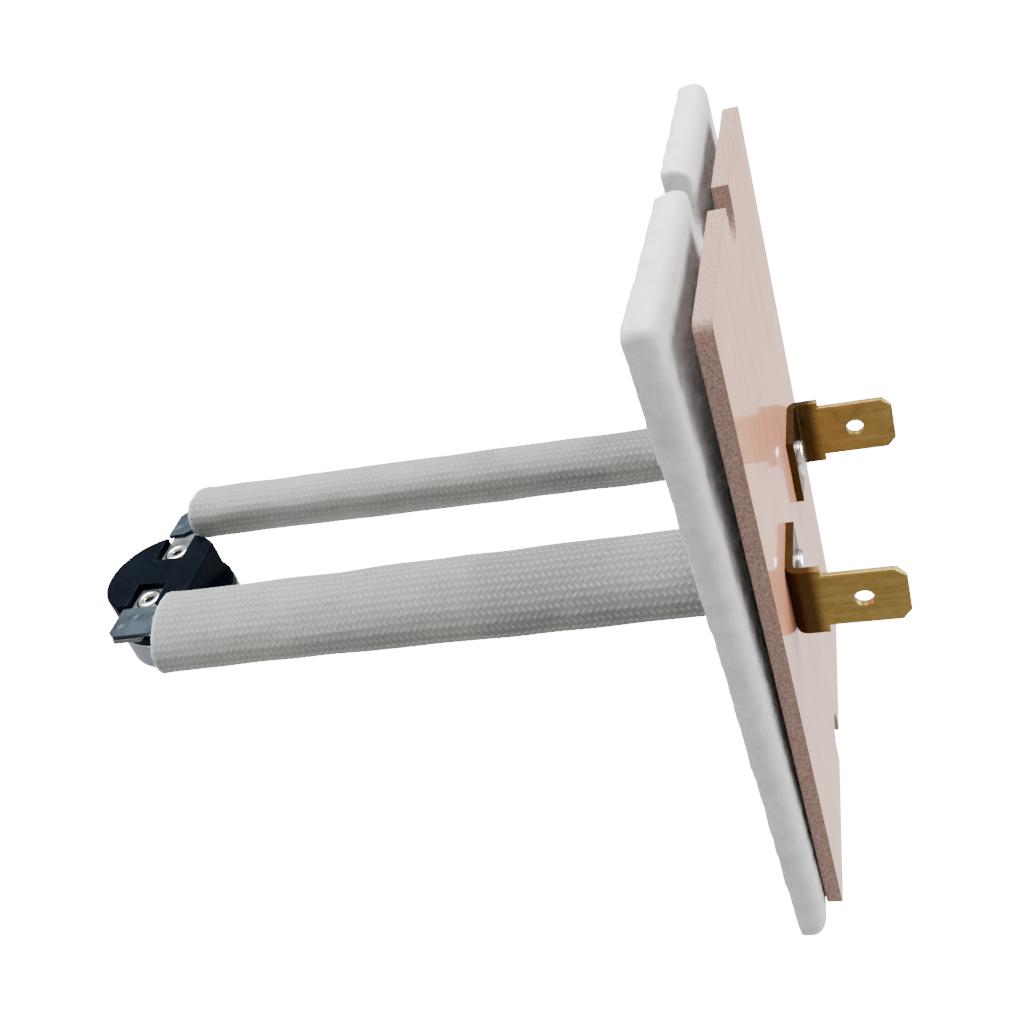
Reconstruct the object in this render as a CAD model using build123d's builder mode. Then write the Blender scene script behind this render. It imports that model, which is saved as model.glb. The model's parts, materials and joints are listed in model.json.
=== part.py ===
"""High-limit thermostat on two insulated legs, with a mounting plate, gasket and quick-connect tabs.

Millimetres, +Z up. The origin is the centre of the mounting plate's back face. +X points out of the
plate's front, towards the tabs, and the legs reach along -X into the duct. "far" is the +Y side and
"near" is the -Y side.
"""
from build123d import *
from math import asin, atan, cos, degrees, sin
import os

# Mounting plate: fibre laminate with an open screw slot in the middle of each short edge
PLATE_WIDTH = 46.0
PLATE_HEIGHT = 72.8
PLATE_THICKNESS = 1.6
PLATE_CORNER_RADIUS = 1.0
SLOT_WIDTH = 5.0
SLOT_DEPTH = 4.5

# Gasket: soft sheet that leans away from the plate towards the top, where the leg feet lift it
GASKET_WIDTH = 53.4
GASKET_HEIGHT = 74.6
GASKET_THICKNESS = 3.0
GASKET_GAP_BOTTOM = 0.05
GASKET_GAP_TOP = 1.55
GASKET_CORNER_RADIUS = 1.0
GASKET_POCKET_DEPTH = 1.45
GASKET_SLOT_WIDTH = 5.4
GASKET_SLOT_DEPTH = 6.3

# Quick-connect terminals: 6.35 x 0.8 tabs bent up from riveted feet, one turned half round about X
TAB_THICKNESS = 0.8
TAB_WIDTH = 6.35
TAB_LENGTH = 7.92
TAB_MIDPLANE_Y = 13.84
TAB_CENTRE_Z = 0.52
TAB_CORNER_CHAMFER = 1.05
TAB_EDGE_CHAMFER = 0.14
TAB_LEAD_IN_LENGTH = 0.85
TAB_LEAD_IN_DEPTH = 0.22
TAB_HOLE_RADIUS = 0.95
TAB_HOLE_FROM_SHOULDER = 3.7
SHOULDER_WIDTH = 7.9
SHOULDER_X = 4.9
TAB_BEND_INNER_RADIUS = 0.4
FOOT_INNER_Y = 6.15

# Rivets through terminal foot, plate and leg foot
RIVET_Y = 9.0
RIVET_SHANK_RADIUS = 1.2
RIVET_HOLE_RADIUS = 1.25
RIVET_HEAD_RADIUS = 2.1
RIVET_HEAD_HEIGHT = 0.7
RIVET_TAIL_RADIUS = 1.8
RIVET_TAIL_HEIGHT = 0.6

# Leg strips: flat conductors from the plate to the thermostat's side terminals. The thermostat sits
# a little towards the near side, so each leg has its own tip position and its own jog.
LEG_THICKNESS = 0.5
LEG_BOTTOM_Z = 1.35
LEG_TIP_X = -78.05
LEG_TIP_WIDTH = 4.9
FAR_LEG_TIP_Y = 10.3
NEAR_LEG_TIP_Y = 8.8
LEG_TIP_CHAMFER = 0.7
LEG_INNER_Y = 9.4
LEG_OUTER_Y = 14.7
LEG_NECK_INNER_Y = 11.0
LEG_NECK_X = -6.0
FAR_JOG_X = -75.9
NEAR_JOG_X = -70.9
JOG_LENGTH = 2.1
LEG_BEND_INNER_RADIUS = 0.4
LEG_FOOT_INNER_Y = 6.8
LEG_FOOT_BOTTOM_Z = -3.2
LEG_TONGUE_TOP_Z = 2.9
LEG_TONGUE_OUTER_Y = 10.8

# Braided sleeves: flattened tubes with their outer edges lower, each running slightly askew
SLEEVE_BROAD_RADIUS = 4.95
SLEEVE_NARROW_RADIUS = 3.2
SLEEVE_WALL = 0.55
FAR_SLEEVE_TILT = -28.0
NEAR_SLEEVE_TILT = 20.0
FAR_SLEEVE_SENSOR_END = (-73.5, 11.5, 2.2)
FAR_SLEEVE_PLATE_END = (-2.0, 12.4, 1.1)
NEAR_SLEEVE_SENSOR_END = (-68.75, -12.3, 2.5)
NEAR_SLEEVE_PLATE_END = (-2.0, -11.1, 2.5)
GASKET_HOLE_CLEARANCE = 0.1

# Thermostat: its axis is vertical at THERMO_X, terminals up, sensing cap down
THERMO_X = -75.5
BODY_TOP_Z = 2.25
BODY_RADIUS = 7.2
BODY_FLAT_X = 5.7
BODY_FLANGE_RADIUS = 7.7
FLANGE_TOP_Z = -2.3
FLANGE_BOTTOM_Z = -3.2
SPIGOT_RADIUS = 7.43
SPIGOT_BOTTOM_Z = -4.3
CAVITY_LENGTH = 12.4
CAVITY_WIDTH = 6.4
CAVITY_ROOF_Z = -0.45
RECESS_WIDTH = 4.1
RECESS_INNER_Y = 2.3
RECESS_FLOOR_Z = 0.85
NEAR_STEP_Y = 6.25
NEAR_STEP_Z = 1.3
BOSS_RADIUS = 1.6

SIDE_TERMINAL_WIDTH = 3.9
SIDE_TERMINAL_THICKNESS = 0.5
SIDE_TERMINAL_INNER_Y = 2.4
SIDE_TERMINAL_OUTER_Y = 11.5

EYELET_Y = 4.43
EYELET_BORE_RADIUS = 0.6
EYELET_SHANK_RADIUS = 1.0
EYELET_HOLE_RADIUS = 1.05
EYELET_FLANGE_RADIUS = 1.65
EYELET_FLANGE_HEIGHT = 0.35
EYELET_FLARE_RADIUS = 1.35
EYELET_FLARE_HEIGHT = 0.25

CAP_RADIUS = 7.8
CAP_WALL = 0.35
CAP_TOP_Z = -3.2
CAP_BOTTOM_Z = -7.3
CAP_EDGE_RADIUS = 0.6

GUIDE_RADIUS = 7.3
GUIDE_THICKNESS = 0.8
GUIDE_SKIRT_INNER_RADIUS = 6.2
GUIDE_SKIRT_BOTTOM_Z = -6.38
GUIDE_HOLE_RADIUS = 0.75

DISC_RADIUS = 7.0
DISC_THICKNESS = 0.2
DISC_DOME = 0.3
DISC_CENTRE_BOTTOM_Z = -6.93

PIN_RADIUS = 0.7
PIN_SHOULDER_RADIUS = 1.2
PIN_SHOULDER_BOTTOM_Z = -6.0
PIN_SHOULDER_TOP_Z = -5.55
PIN_CLEARANCE = 0.01

CARRIER_TOP_Z = -1.1
FIXED_STRIP_TOP_Z = -2.2
STRIP_THICKNESS = 0.4
STRIP_WIDTH = 3.0
STRIP_OUTER_Y = 5.5
CARRIER_INNER_Y = 2.6
BLADE_THICKNESS = 0.15
BLADE_WIDTH = 2.5
BLADE_ROOT_Y = -2.95
BLADE_TIP_Y = 2.5
BLADE_GAP = 0.01
CONTACT_Y = 1.7
CONTACT_RADIUS = 0.75
CONTACT_HEIGHT = 0.26
CONTACT_STAKE_RADIUS = 0.4
CONTACT_STAKE_HEAD_RADIUS = 0.55
CONTACT_STAKE_HEAD_HEIGHT = 0.12
FIXED_STRIP_INNER_Y = 0.95

FAR = 1
NEAR = -1
SIDE_NAMES = {FAR: "far", NEAR: "near"}
LEG_TIP_Y = {FAR: FAR_LEG_TIP_Y, NEAR: NEAR_LEG_TIP_Y}
JOG_X = {FAR: FAR_JOG_X, NEAR: NEAR_JOG_X}
SLEEVE_TILT = {FAR: FAR_SLEEVE_TILT, NEAR: NEAR_SLEEVE_TILT}
SLEEVE_SENSOR_END = {FAR: Vector(FAR_SLEEVE_SENSOR_END), NEAR: Vector(NEAR_SLEEVE_SENSOR_END)}
SLEEVE_PLATE_END = {FAR: Vector(FAR_SLEEVE_PLATE_END), NEAR: Vector(NEAR_SLEEVE_PLATE_END)}


def thermo_level(height):
    """A horizontal plane on the thermostat's axis."""
    return Plane(origin=(THERMO_X, 0, height))


def thermo_section(y=0.0):
    """The vertical XZ section plane through the thermostat, moved along Y."""
    return Plane(origin=(THERMO_X, y, 0), x_dir=(1, 0, 0), z_dir=(0, -1, 0))


def thermo_axis(y=0.0):
    """A vertical axis on the thermostat's centre line, moved along Y."""
    return Axis((THERMO_X, y, 0), (0, 0, 1))


def sleeve_section(side):
    """The YZ section plane at a sleeve's plate end, centred on the sleeve."""
    return Plane(origin=SLEEVE_PLATE_END[side], x_dir=(0, 1, 0), z_dir=(1, 0, 0))


def sleeve_direction(side):
    """The direction of a sleeve's run, from its plate end to its sensor end."""
    return (SLEEVE_SENSOR_END[side] - SLEEVE_PLATE_END[side]).normalized()


os.makedirs("parts", exist_ok=True)

# Mounting plate
with BuildPart() as mounting_plate:
    with BuildSketch(Plane.YZ):
        RectangleRounded(PLATE_WIDTH, PLATE_HEIGHT, PLATE_CORNER_RADIUS)
        with Locations((0, PLATE_HEIGHT / 2), (0, -PLATE_HEIGHT / 2)):
            SlotOverall(2 * SLOT_DEPTH, SLOT_WIDTH, rotation=90, mode=Mode.SUBTRACT)
        with Locations((RIVET_Y, TAB_CENTRE_Z), (-RIVET_Y, -TAB_CENTRE_Z)):
            Circle(RIVET_HOLE_RADIUS, mode=Mode.SUBTRACT)
    extrude(amount=PLATE_THICKNESS)
mounting_plate.part.label = "mounting_plate"
export_step(mounting_plate.part, "parts/mounting_plate.step")

# Gasket, on a plane that leans with it; its local Y runs down
gasket_lean = atan((GASKET_GAP_TOP - GASKET_GAP_BOTTOM) / GASKET_HEIGHT)
gasket_front = Plane(
    origin=(-(GASKET_GAP_TOP + GASKET_GAP_BOTTOM) / 2, 0, 0),
    x_dir=(0, 1, 0),
    z_dir=(-cos(gasket_lean), 0, -sin(gasket_lean)),
)
with BuildPart() as gasket:
    with BuildSketch(gasket_front):
        RectangleRounded(GASKET_WIDTH, GASKET_HEIGHT, GASKET_CORNER_RADIUS)
        with Locations((0, GASKET_HEIGHT / 2), (0, -GASKET_HEIGHT / 2)):
            SlotOverall(2 * GASKET_SLOT_DEPTH, GASKET_SLOT_WIDTH, rotation=90, mode=Mode.SUBTRACT)
    extrude(amount=GASKET_THICKNESS)
    for side in (FAR, NEAR):
        with BuildSketch(sleeve_section(side)):
            Ellipse(
                SLEEVE_BROAD_RADIUS + GASKET_HOLE_CLEARANCE,
                SLEEVE_NARROW_RADIUS + GASKET_HOLE_CLEARANCE,
                rotation=SLEEVE_TILT[side],
            )
        extrude(amount=3 * GASKET_THICKNESS, dir=sleeve_direction(side), both=True, mode=Mode.SUBTRACT)
    with BuildSketch(Plane.YZ.offset(-GASKET_POCKET_DEPTH)):
        for side in (FAR, NEAR):
            with Locations((side * (LEG_FOOT_INNER_Y + LEG_OUTER_Y) / 2, 0)):
                Rectangle(LEG_OUTER_Y - LEG_FOOT_INNER_Y + 1.0, 2 * LEG_TONGUE_TOP_Z + 1.6)
    extrude(amount=GASKET_THICKNESS, mode=Mode.SUBTRACT)
gasket.part.label = "gasket"
export_step(gasket.part, "parts/gasket.step")


def make_tab_terminal(side):
    """An L-shaped brass terminal: foot on the plate, rounded bend, shoulders and a tab along +X."""
    foot_back_x = PLATE_THICKNESS
    bend_outer_radius = TAB_BEND_INNER_RADIUS + TAB_THICKNESS
    bend_x = foot_back_x + bend_outer_radius
    bend_y = TAB_MIDPLANE_Y + TAB_THICKNESS / 2 - bend_outer_radius
    tip_x = SHOULDER_X + TAB_LENGTH
    half = SHOULDER_WIDTH / 2
    turn = 0 if side == FAR else 180
    with BuildPart() as terminal:
        with BuildSketch(Plane.YZ.offset(foot_back_x)):
            with Locations(((FOOT_INNER_Y + bend_y) / 2, TAB_CENTRE_Z)):
                Rectangle(bend_y - FOOT_INNER_Y, SHOULDER_WIDTH)
            with Locations((RIVET_Y, TAB_CENTRE_Z)):
                Circle(RIVET_HOLE_RADIUS, mode=Mode.SUBTRACT)
        extrude(amount=TAB_THICKNESS)
        with BuildSketch(Plane.XY.offset(TAB_CENTRE_Z - half)):
            with Locations((bend_x, bend_y)):
                Circle(bend_outer_radius)
                Circle(TAB_BEND_INNER_RADIUS, mode=Mode.SUBTRACT)
            with Locations((bend_x, bend_y - bend_outer_radius)):
                Rectangle(4 * bend_outer_radius, 2 * bend_outer_radius, mode=Mode.SUBTRACT)
            with Locations((bend_x + bend_outer_radius, bend_y)):
                Rectangle(2 * bend_outer_radius, 4 * bend_outer_radius, mode=Mode.SUBTRACT)
        extrude(amount=SHOULDER_WIDTH)
        tab_plane = Plane(
            origin=(0, TAB_MIDPLANE_Y + TAB_THICKNESS / 2, 0), x_dir=(1, 0, 0), z_dir=(0, -1, 0)
        )
        with BuildSketch(tab_plane):
            with BuildLine():
                tab_half = TAB_WIDTH / 2
                Polyline(
                    (bend_x, TAB_CENTRE_Z - half),
                    (SHOULDER_X, TAB_CENTRE_Z - half),
                    (SHOULDER_X, TAB_CENTRE_Z - tab_half),
                    (tip_x - TAB_CORNER_CHAMFER, TAB_CENTRE_Z - tab_half),
                    (tip_x, TAB_CENTRE_Z - tab_half + TAB_CORNER_CHAMFER),
                    (tip_x, TAB_CENTRE_Z + tab_half - TAB_CORNER_CHAMFER),
                    (tip_x - TAB_CORNER_CHAMFER, TAB_CENTRE_Z + tab_half),
                    (SHOULDER_X, TAB_CENTRE_Z + tab_half),
                    (SHOULDER_X, TAB_CENTRE_Z + half),
                    (bend_x, TAB_CENTRE_Z + half),
                    close=True,
                )
            make_face()
            with Locations((SHOULDER_X + TAB_HOLE_FROM_SHOULDER, TAB_CENTRE_Z)):
                Circle(TAB_HOLE_RADIUS, mode=Mode.SUBTRACT)
        extrude(amount=TAB_THICKNESS)
        long_edges = terminal.edges().filter_by(Axis.X).group_by(Axis.X)[-1]
        chamfer(long_edges, length=TAB_EDGE_CHAMFER)
        with BuildSketch(Plane.XY.offset(TAB_CENTRE_Z - half)):
            for face_side in (1, -1):
                face_y = TAB_MIDPLANE_Y + face_side * TAB_THICKNESS / 2
                with BuildLine():
                    Polyline(
                        (tip_x - TAB_LEAD_IN_LENGTH, face_y),
                        (tip_x, face_y - face_side * TAB_LEAD_IN_DEPTH),
                        (tip_x, face_y),
                        close=True,
                    )
                make_face()
        extrude(amount=SHOULDER_WIDTH, mode=Mode.SUBTRACT)
    placed = terminal.part.rotate(Axis.X, turn)
    placed.label = f"{SIDE_NAMES[side]}_tab_terminal"
    export_step(placed, f"parts/{placed.label}.step")


def make_plate_rivet(side):
    """A rivet along X with a domed head on the terminal's foot and an upset tail on the leg's foot."""
    head_x = PLATE_THICKNESS + TAB_THICKNESS
    tail_x = -LEG_THICKNESS
    centre = (0, side * RIVET_Y, side * TAB_CENTRE_Z)
    with BuildPart() as rivet:
        with BuildSketch(Plane(origin=centre, x_dir=(0, 1, 0), z_dir=(1, 0, 0)).offset(tail_x)):
            Circle(RIVET_SHANK_RADIUS)
        extrude(amount=head_x - tail_x)
        with BuildSketch(Plane(origin=centre, x_dir=(0, 1, 0), z_dir=(1, 0, 0)).offset(head_x)):
            Circle(RIVET_HEAD_RADIUS)
        extrude(amount=RIVET_HEAD_HEIGHT)
        with BuildSketch(Plane(origin=centre, x_dir=(0, 1, 0), z_dir=(1, 0, 0)).offset(tail_x)):
            Circle(RIVET_TAIL_RADIUS)
        extrude(amount=-RIVET_TAIL_HEIGHT)
        round_edges = rivet.edges().filter_by(GeomType.CIRCLE)
        fillet(round_edges.group_by(Axis.X)[-1], RIVET_HEAD_HEIGHT * 0.7)
        fillet(rivet.edges().filter_by(GeomType.CIRCLE).group_by(Axis.X)[0], RIVET_TAIL_HEIGHT * 0.6)
    rivet.part.label = f"{SIDE_NAMES[side]}_plate_rivet"
    export_step(rivet.part, f"parts/{rivet.part.label}.step")


def make_leg_strip(side):
    """A flat strip: narrow tip on the side terminal, jog, run, bend and a foot behind the plate."""
    bend_outer_radius = LEG_BEND_INNER_RADIUS + LEG_THICKNESS
    bend_x = -bend_outer_radius
    bend_z = LEG_BOTTOM_Z + LEG_THICKNESS - bend_outer_radius
    tip_inner_y = LEG_TIP_Y[side] - LEG_TIP_WIDTH / 2
    tip_outer_y = LEG_TIP_Y[side] + LEG_TIP_WIDTH / 2
    with BuildPart() as leg:
        with BuildSketch(Plane.XY.offset(LEG_BOTTOM_Z)):
            with BuildLine():
                Polyline(
                    (LEG_TIP_X, side * tip_inner_y),
                    (JOG_X[side], side * tip_inner_y),
                    (JOG_X[side] + JOG_LENGTH, side * LEG_INNER_Y),
                    (LEG_NECK_X, side * LEG_INNER_Y),
                    (LEG_NECK_X + LEG_NECK_INNER_Y - LEG_INNER_Y, side * LEG_NECK_INNER_Y),
                    (bend_x, side * LEG_NECK_INNER_Y),
                    (bend_x, side * LEG_OUTER_Y),
                    (JOG_X[side] + JOG_LENGTH, side * LEG_OUTER_Y),
                    (JOG_X[side], side * tip_outer_y),
                    (LEG_TIP_X + LEG_TIP_CHAMFER, side * tip_outer_y),
                    (LEG_TIP_X, side * (tip_outer_y - LEG_TIP_CHAMFER)),
                    close=True,
                )
            make_face()
        extrude(amount=LEG_THICKNESS)
        with BuildSketch(Plane.XZ.offset(-side * (LEG_NECK_INNER_Y + LEG_OUTER_Y) / 2)):
            with Locations((bend_x, bend_z)):
                Circle(bend_outer_radius)
                Circle(LEG_BEND_INNER_RADIUS, mode=Mode.SUBTRACT)
            with Locations((bend_x - bend_outer_radius, bend_z)):
                Rectangle(2 * bend_outer_radius, 4 * bend_outer_radius, mode=Mode.SUBTRACT)
            with Locations((bend_x, bend_z - bend_outer_radius)):
                Rectangle(4 * bend_outer_radius, 2 * bend_outer_radius, mode=Mode.SUBTRACT)
        extrude(amount=(LEG_OUTER_Y - LEG_NECK_INNER_Y) / 2, both=True)
        with BuildSketch(Plane.YZ.offset(-LEG_THICKNESS)):
            with BuildLine():
                Polyline(
                    (side * LEG_FOOT_INNER_Y, LEG_FOOT_BOTTOM_Z),
                    (side * LEG_OUTER_Y, LEG_FOOT_BOTTOM_Z),
                    (side * LEG_OUTER_Y, bend_z),
                    (side * LEG_TONGUE_OUTER_Y, bend_z),
                    (side * LEG_TONGUE_OUTER_Y, LEG_TONGUE_TOP_Z),
                    (side * LEG_FOOT_INNER_Y, LEG_TONGUE_TOP_Z),
                    close=True,
                )
            make_face()
            with Locations((side * RIVET_Y, side * TAB_CENTRE_Z)):
                Circle(RIVET_HOLE_RADIUS, mode=Mode.SUBTRACT)
        extrude(amount=LEG_THICKNESS)
    leg.part.label = f"{SIDE_NAMES[side]}_leg_strip"
    export_step(leg.part, f"parts/{leg.part.label}.step")


def make_sleeve(side):
    """A straight oval tube round a leg strip."""
    with BuildPart() as sleeve:
        with BuildSketch(sleeve_section(side)):
            Ellipse(SLEEVE_BROAD_RADIUS, SLEEVE_NARROW_RADIUS, rotation=SLEEVE_TILT[side])
            Ellipse(
                SLEEVE_BROAD_RADIUS - SLEEVE_WALL,
                SLEEVE_NARROW_RADIUS - SLEEVE_WALL,
                rotation=SLEEVE_TILT[side],
                mode=Mode.SUBTRACT,
            )
        run = SLEEVE_SENSOR_END[side] - SLEEVE_PLATE_END[side]
        extrude(amount=run.length, dir=sleeve_direction(side))
    sleeve.part.label = f"{SIDE_NAMES[side]}_sleeve"
    export_step(sleeve.part, f"parts/{sleeve.part.label}.step")


def make_side_terminal(side):
    """A flat terminal in the body's recess, held by an eyelet, that carries the leg's tip."""
    middle_y = side * (SIDE_TERMINAL_INNER_Y + SIDE_TERMINAL_OUTER_Y) / 2
    length = SIDE_TERMINAL_OUTER_Y - SIDE_TERMINAL_INNER_Y
    with BuildPart() as side_terminal:
        with BuildSketch(thermo_level(RECESS_FLOOR_Z)):
            with Locations((0, middle_y)):
                RectangleRounded(SIDE_TERMINAL_WIDTH, length, 0.3)
            with Locations((0, side * EYELET_Y)):
                Circle(EYELET_HOLE_RADIUS, mode=Mode.SUBTRACT)
        extrude(amount=SIDE_TERMINAL_THICKNESS)
    side_terminal.part.label = f"{SIDE_NAMES[side]}_side_terminal"
    export_step(side_terminal.part, f"parts/{side_terminal.part.label}.step")


def make_eyelet(side, clamped_bottom_z):
    """A hollow eyelet: rolled flange on the side terminal, flare under the inner strip."""
    top_z = RECESS_FLOOR_Z + SIDE_TERMINAL_THICKNESS
    crest_radius = (EYELET_BORE_RADIUS + EYELET_FLANGE_RADIUS) / 2
    with BuildPart() as eyelet:
        with BuildSketch(thermo_section(side * EYELET_Y)):
            with BuildLine():
                Polyline(
                    (EYELET_FLANGE_RADIUS, top_z),
                    (EYELET_SHANK_RADIUS, top_z),
                    (EYELET_SHANK_RADIUS, clamped_bottom_z),
                    (EYELET_FLARE_RADIUS, clamped_bottom_z),
                    (EYELET_FLARE_RADIUS, clamped_bottom_z - EYELET_FLARE_HEIGHT / 2),
                    (EYELET_SHANK_RADIUS, clamped_bottom_z - EYELET_FLARE_HEIGHT),
                    (EYELET_BORE_RADIUS, clamped_bottom_z - EYELET_FLARE_HEIGHT),
                    (EYELET_BORE_RADIUS, top_z),
                )
                ThreePointArc(
                    (EYELET_BORE_RADIUS, top_z),
                    (crest_radius, top_z + EYELET_FLANGE_HEIGHT),
                    (EYELET_FLANGE_RADIUS, top_z),
                )
            make_face()
        revolve(axis=thermo_axis(side * EYELET_Y))
    eyelet.part.label = f"{SIDE_NAMES[side]}_eyelet"
    export_step(eyelet.part, f"parts/{eyelet.part.label}.step")


make_eyelet(FAR, FIXED_STRIP_TOP_Z - STRIP_THICKNESS)
make_eyelet(NEAR, CARRIER_TOP_Z - STRIP_THICKNESS)
for side in (FAR, NEAR):
    make_tab_terminal(side)
    make_plate_rivet(side)
    make_leg_strip(side)
    make_sleeve(side)
    make_side_terminal(side)

# Thermostat body: moulded, with a flat towards the plate and two terminal recesses
with BuildPart() as thermostat_body:
    with BuildSketch(thermo_level(FLANGE_TOP_Z)):
        Circle(BODY_RADIUS)
        with Locations((BODY_FLAT_X + BODY_RADIUS / 2, 0)):
            Rectangle(BODY_RADIUS, 2 * BODY_RADIUS, mode=Mode.SUBTRACT)
    extrude(amount=BODY_TOP_Z - FLANGE_TOP_Z)
    fillet(thermostat_body.edges().group_by(Axis.Z)[-1], 0.3)
    with BuildSketch(thermo_level(FLANGE_BOTTOM_Z)):
        Circle(BODY_FLANGE_RADIUS)
    extrude(amount=FLANGE_TOP_Z - FLANGE_BOTTOM_Z)
    with BuildSketch(thermo_level(SPIGOT_BOTTOM_Z)):
        Circle(SPIGOT_RADIUS)
    extrude(amount=FLANGE_BOTTOM_Z - SPIGOT_BOTTOM_Z)
    with BuildSketch(thermo_level(SPIGOT_BOTTOM_Z)):
        SlotOverall(CAVITY_LENGTH, CAVITY_WIDTH, rotation=90)
    extrude(amount=CAVITY_ROOF_Z - SPIGOT_BOTTOM_Z, mode=Mode.SUBTRACT)
    for side, boss_bottom_z in ((FAR, FIXED_STRIP_TOP_Z), (NEAR, CARRIER_TOP_Z)):
        with BuildSketch(thermo_level(CAVITY_ROOF_Z)):
            with Locations((0, side * EYELET_Y)):
                Circle(BOSS_RADIUS)
        extrude(amount=boss_bottom_z - CAVITY_ROOF_Z)
    with BuildSketch(thermo_level(RECESS_FLOOR_Z)):
        with Locations((0, RECESS_INNER_Y + BODY_RADIUS / 2), (0, -RECESS_INNER_Y - BODY_RADIUS / 2)):
            Rectangle(RECESS_WIDTH, BODY_RADIUS)
    extrude(amount=BODY_TOP_Z, mode=Mode.SUBTRACT)
    with BuildSketch(thermo_level(NEAR_STEP_Z)):
        with Locations((0, -NEAR_STEP_Y - BODY_RADIUS / 2)):
            Rectangle(2 * BODY_RADIUS, BODY_RADIUS)
    extrude(amount=BODY_TOP_Z, mode=Mode.SUBTRACT)
    with BuildSketch(thermo_level(SPIGOT_BOTTOM_Z)):
        with Locations((0, EYELET_Y), (0, -EYELET_Y)):
            Circle(EYELET_HOLE_RADIUS)
    extrude(amount=BODY_TOP_Z - SPIGOT_BOTTOM_Z, mode=Mode.SUBTRACT)
thermostat_body.part.label = "thermostat_body"
export_step(thermostat_body.part, "parts/thermostat_body.step")

# Sensing cap: a drawn metal cup over the body's spigot
with BuildPart() as thermostat_cap:
    with BuildSketch(thermo_level(CAP_BOTTOM_Z)):
        Circle(CAP_RADIUS)
    extrude(amount=CAP_TOP_Z - CAP_BOTTOM_Z)
    fillet(thermostat_cap.edges().group_by(Axis.Z)[0], CAP_EDGE_RADIUS)
    offset(amount=-CAP_WALL, openings=thermostat_cap.faces().sort_by(Axis.Z)[-1])
thermostat_cap.part.label = "thermostat_cap"
export_step(thermostat_cap.part, "parts/thermostat_cap.step")

# Pin guide: a plate with a skirt that keeps the bimetal disc's rim down
with BuildPart() as pin_guide:
    with BuildSketch(thermo_level(SPIGOT_BOTTOM_Z)):
        Circle(GUIDE_RADIUS)
        Circle(GUIDE_HOLE_RADIUS, mode=Mode.SUBTRACT)
    extrude(amount=-GUIDE_THICKNESS)
    with BuildSketch(thermo_level(GUIDE_SKIRT_BOTTOM_Z)):
        Circle(GUIDE_RADIUS - 0.3)
        Circle(GUIDE_SKIRT_INNER_RADIUS, mode=Mode.SUBTRACT)
    extrude(amount=SPIGOT_BOTTOM_Z - GUIDE_THICKNESS - GUIDE_SKIRT_BOTTOM_Z)
pin_guide.part.label = "pin_guide"
export_step(pin_guide.part, "parts/pin_guide.step")

# Bimetal disc: a shallow dome, bulging down while cold
dome_radius = (DISC_RADIUS**2 + DISC_DOME**2) / (2 * DISC_DOME)
dome_angle = degrees(asin(DISC_RADIUS / dome_radius))
disc_top_z = DISC_CENTRE_BOTTOM_Z + DISC_THICKNESS
with BuildPart() as bimetal_disc:
    with BuildSketch(thermo_section()):
        with BuildLine():
            lower = CenterArc((0, DISC_CENTRE_BOTTOM_Z + dome_radius), dome_radius, -90, dome_angle)
            upper = CenterArc((0, disc_top_z + dome_radius), dome_radius, -90, dome_angle)
            Line(lower @ 0, upper @ 0)
            Line(lower @ 1, upper @ 1)
        make_face()
    revolve(axis=thermo_axis())
bimetal_disc.part.label = "bimetal_disc"
export_step(bimetal_disc.part, "parts/bimetal_disc.step")

# Transfer pin: ceramic, from the disc to the contact blade, with a shoulder under the guide
blade_bottom_z = CARRIER_TOP_Z - STRIP_THICKNESS - BLADE_GAP - BLADE_THICKNESS
pin_bottom_z = DISC_CENTRE_BOTTOM_Z + DISC_THICKNESS + PIN_CLEARANCE
pin_top_z = blade_bottom_z - PIN_CLEARANCE
with BuildPart() as transfer_pin:
    with BuildSketch(thermo_level(pin_bottom_z)):
        Circle(PIN_RADIUS)
    extrude(amount=pin_top_z - pin_bottom_z)
    fillet(transfer_pin.edges().filter_by(GeomType.CIRCLE), PIN_RADIUS * 0.8)
    with BuildSketch(thermo_level(PIN_SHOULDER_BOTTOM_Z)):
        Circle(PIN_SHOULDER_RADIUS)
    extrude(amount=PIN_SHOULDER_TOP_Z - PIN_SHOULDER_BOTTOM_Z)
transfer_pin.part.label = "transfer_pin"
export_step(transfer_pin.part, "parts/transfer_pin.step")

# Blade carrier: the fixed strip under the near boss
with BuildPart() as blade_carrier:
    with BuildSketch(thermo_level(CARRIER_TOP_Z - STRIP_THICKNESS)):
        with Locations((0, -(CARRIER_INNER_Y + STRIP_OUTER_Y) / 2)):
            Rectangle(STRIP_WIDTH, STRIP_OUTER_Y - CARRIER_INNER_Y)
        with Locations((0, -EYELET_Y)):
            Circle(EYELET_HOLE_RADIUS, mode=Mode.SUBTRACT)
    extrude(amount=STRIP_THICKNESS)
blade_carrier.part.label = "blade_carrier"
export_step(blade_carrier.part, "parts/blade_carrier.step")

# Contact blade: the spring strip welded under the carrier's inner edge
with BuildPart() as contact_blade:
    with BuildSketch(thermo_level(blade_bottom_z)):
        with Locations((0, (BLADE_ROOT_Y + BLADE_TIP_Y) / 2)):
            RectangleRounded(BLADE_WIDTH, BLADE_TIP_Y - BLADE_ROOT_Y, 0.3)
        with Locations((0, CONTACT_Y)):
            Circle(CONTACT_STAKE_RADIUS, mode=Mode.SUBTRACT)
    extrude(amount=BLADE_THICKNESS)
contact_blade.part.label = "contact_blade"
export_step(contact_blade.part, "parts/contact_blade.step")

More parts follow.
